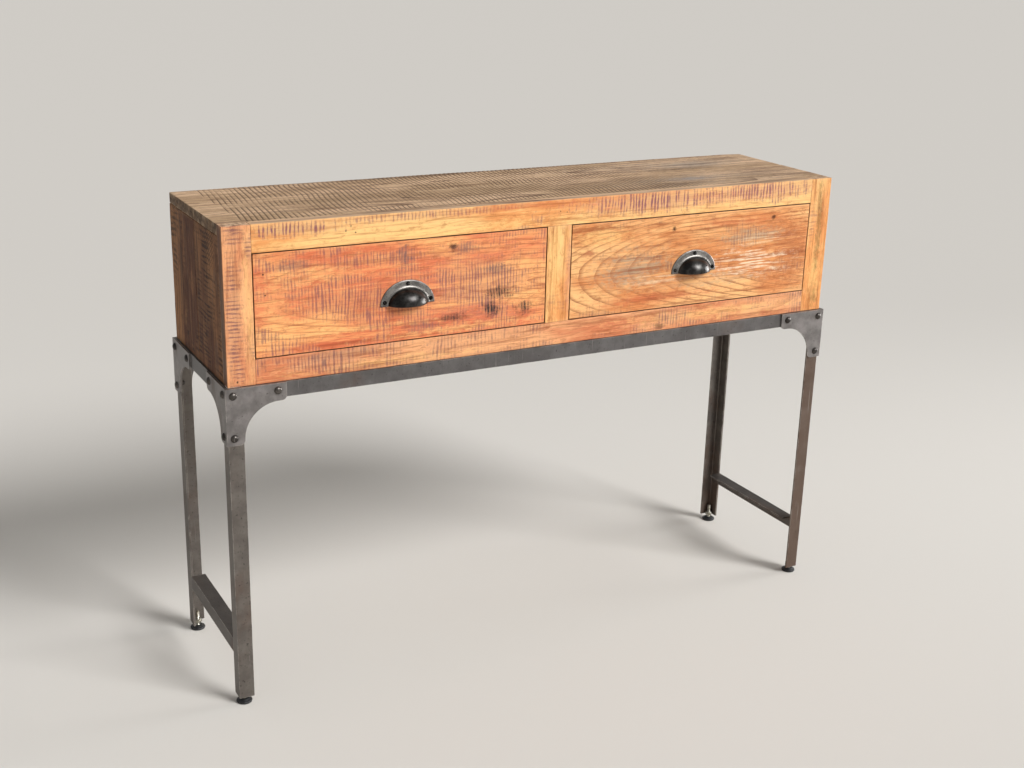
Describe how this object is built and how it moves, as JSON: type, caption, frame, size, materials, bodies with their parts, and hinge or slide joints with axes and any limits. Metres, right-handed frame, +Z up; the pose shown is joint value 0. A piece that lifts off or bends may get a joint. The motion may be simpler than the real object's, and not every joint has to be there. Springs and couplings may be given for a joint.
{
  "type": "console table",
  "caption": "Narrow wooden console table with inset drawers and cup pulls, on a riveted angle-iron base with levelling feet.",
  "frame": {"origin": "on the floor, at the middle of the whole table's footprint", "axes": "+Z up, +X to the right along the front as seen from the front, the front faces -Y"},
  "size_m": [1.171, 0.323, 0.8],
  "materials": {
    "top_wood": "dull, rough-sawn, waxed",
    "face_wood": "waxed satin with saw marks",
    "drawer_wood": "waxed satin with saw marks",
    "side_wood": "dull, rough-sawn, waxed",
    "inner_wood": "planed, unfinished",
    "base_iron": "gunmetal, lacquered, worn on its edges",
    "rivet_iron": "dark, polished on the domes",
    "pull_metal": "dark bronze cup on a worn grey plate",
    "dark_screw": "black",
    "zinc": "bright zinc",
    "pad_plastic": "matte black"
  },
  "bodies": {
    "table": {"top_board_front": "top_wood", "top_board_rear": "top_wood", "end_stile_left": "face_wood", "end_stile_right": "face_wood", "top_rail": "face_wood", "bottom_rail": "face_wood", "centre_stile": "face_wood", "side_board_left_front": "side_wood", "side_board_left_rear": "side_wood", "side_board_right_front": "side_wood", "side_board_right_rear": "side_wood", "back_panel": "side_wood", "bottom_panel": "inner_wood", "partition": "inner_wood", "drawer_runners": "inner_wood", "drawer_kickers": "inner_wood", "drawer_stops": "inner_wood", "leg_front_left": "base_iron", "leg_front_right": "base_iron", "leg_rear_left": "base_iron", "leg_rear_right": "base_iron", "rail_front": "base_iron", "rail_rear": "base_iron", "rail_left": "base_iron", "rail_right": "base_iron", "gusset_front_left": "base_iron", "gusset_front_right": "base_iron", "gusset_rear_left": "base_iron", "gusset_rear_right": "base_iron", "gusset_left_front": "base_iron", "gusset_left_rear": "base_iron", "gusset_right_front": "base_iron", "gusset_right_rear": "base_iron", "stretcher_left": "base_iron", "stretcher_right": "base_iron", "rivets": "rivet_iron", "case_screws": "zinc", "foot_nuts": "zinc"},
    "drawer_left": {"drawer_front_left": "drawer_wood", "drawer_side_left_outer": "inner_wood", "drawer_side_left_inner": "inner_wood", "drawer_back_left": "inner_wood", "drawer_bottom_left": "inner_wood", "pull_left": "pull_metal", "pull_screws_left": "dark_screw"},
    "drawer_right": {"drawer_front_right": "drawer_wood", "drawer_side_right_outer": "inner_wood", "drawer_side_right_inner": "inner_wood", "drawer_back_right": "inner_wood", "drawer_bottom_right": "inner_wood", "pull_right": "pull_metal", "pull_screws_right": "dark_screw"},
    "foot_front_left": {"pad_front_left": "pad_plastic"},
    "foot_stud_front_left": {"stud_front_left": "zinc"},
    "foot_front_right": {"pad_front_right": "pad_plastic"},
    "foot_stud_front_right": {"stud_front_right": "zinc"},
    "foot_rear_left": {"pad_rear_left": "pad_plastic"},
    "foot_stud_rear_left": {"stud_rear_left": "zinc"},
    "foot_rear_right": {"pad_rear_right": "pad_plastic"},
    "foot_stud_rear_right": {"stud_rear_right": "zinc"}
  },
  "joints": [
    {"name": "drawer_left_slide", "type": "slide", "parent": "table", "child": "drawer_left", "axis": [0, -1, 0], "range_m": [0, 0.2]},
    {"name": "drawer_right_slide", "type": "slide", "parent": "table", "child": "drawer_right", "axis": [0, -1, 0], "range_m": [0, 0.2]},
    {"name": "foot_front_left_height", "type": "slide", "parent": "table", "child": "foot_front_left", "axis": [0, 0, -1], "range_m": [-0.0045, 0.0115]},
    {"name": "foot_front_left_turn", "type": "hinge", "parent": "foot_front_left", "child": "foot_stud_front_left", "pos_m": [-0.5676, -0.1316, 0.012], "axis": [0, 0, -1], "range_deg": [-1260, 3240]},
    {"name": "foot_front_right_height", "type": "slide", "parent": "table", "child": "foot_front_right", "axis": [0, 0, -1], "range_m": [-0.0045, 0.0115]},
    {"name": "foot_front_right_turn", "type": "hinge", "parent": "foot_front_right", "child": "foot_stud_front_right", "pos_m": [0.5676, -0.1316, 0.012], "axis": [0, 0, -1], "range_deg": [-1260, 3240]},
    {"name": "foot_rear_left_height", "type": "slide", "parent": "table", "child": "foot_rear_left", "axis": [0, 0, -1], "range_m": [-0.0045, 0.0115]},
    {"name": "foot_rear_left_turn", "type": "hinge", "parent": "foot_rear_left", "child": "foot_stud_rear_left", "pos_m": [-0.5676, 0.1436, 0.012], "axis": [0, 0, -1], "range_deg": [-1260, 3240]},
    {"name": "foot_rear_right_height", "type": "slide", "parent": "table", "child": "foot_rear_right", "axis": [0, 0, -1], "range_m": [-0.0045, 0.0115]},
    {"name": "foot_rear_right_turn", "type": "hinge", "parent": "foot_rear_right", "child": "foot_stud_rear_right", "pos_m": [0.5676, 0.1436, 0.012], "axis": [0, 0, -1], "range_deg": [-1260, 3240]}
  ],
  "couplings": [
    {"joint": "foot_front_left_height", "follows": "foot_front_left_turn", "m_per_rad": 0.00019894},
    {"joint": "foot_front_right_height", "follows": "foot_front_right_turn", "m_per_rad": 0.00019894},
    {"joint": "foot_rear_left_height", "follows": "foot_rear_left_turn", "m_per_rad": 0.00019894},
    {"joint": "foot_rear_right_height", "follows": "foot_rear_right_turn", "m_per_rad": 0.00019894}
  ]
}
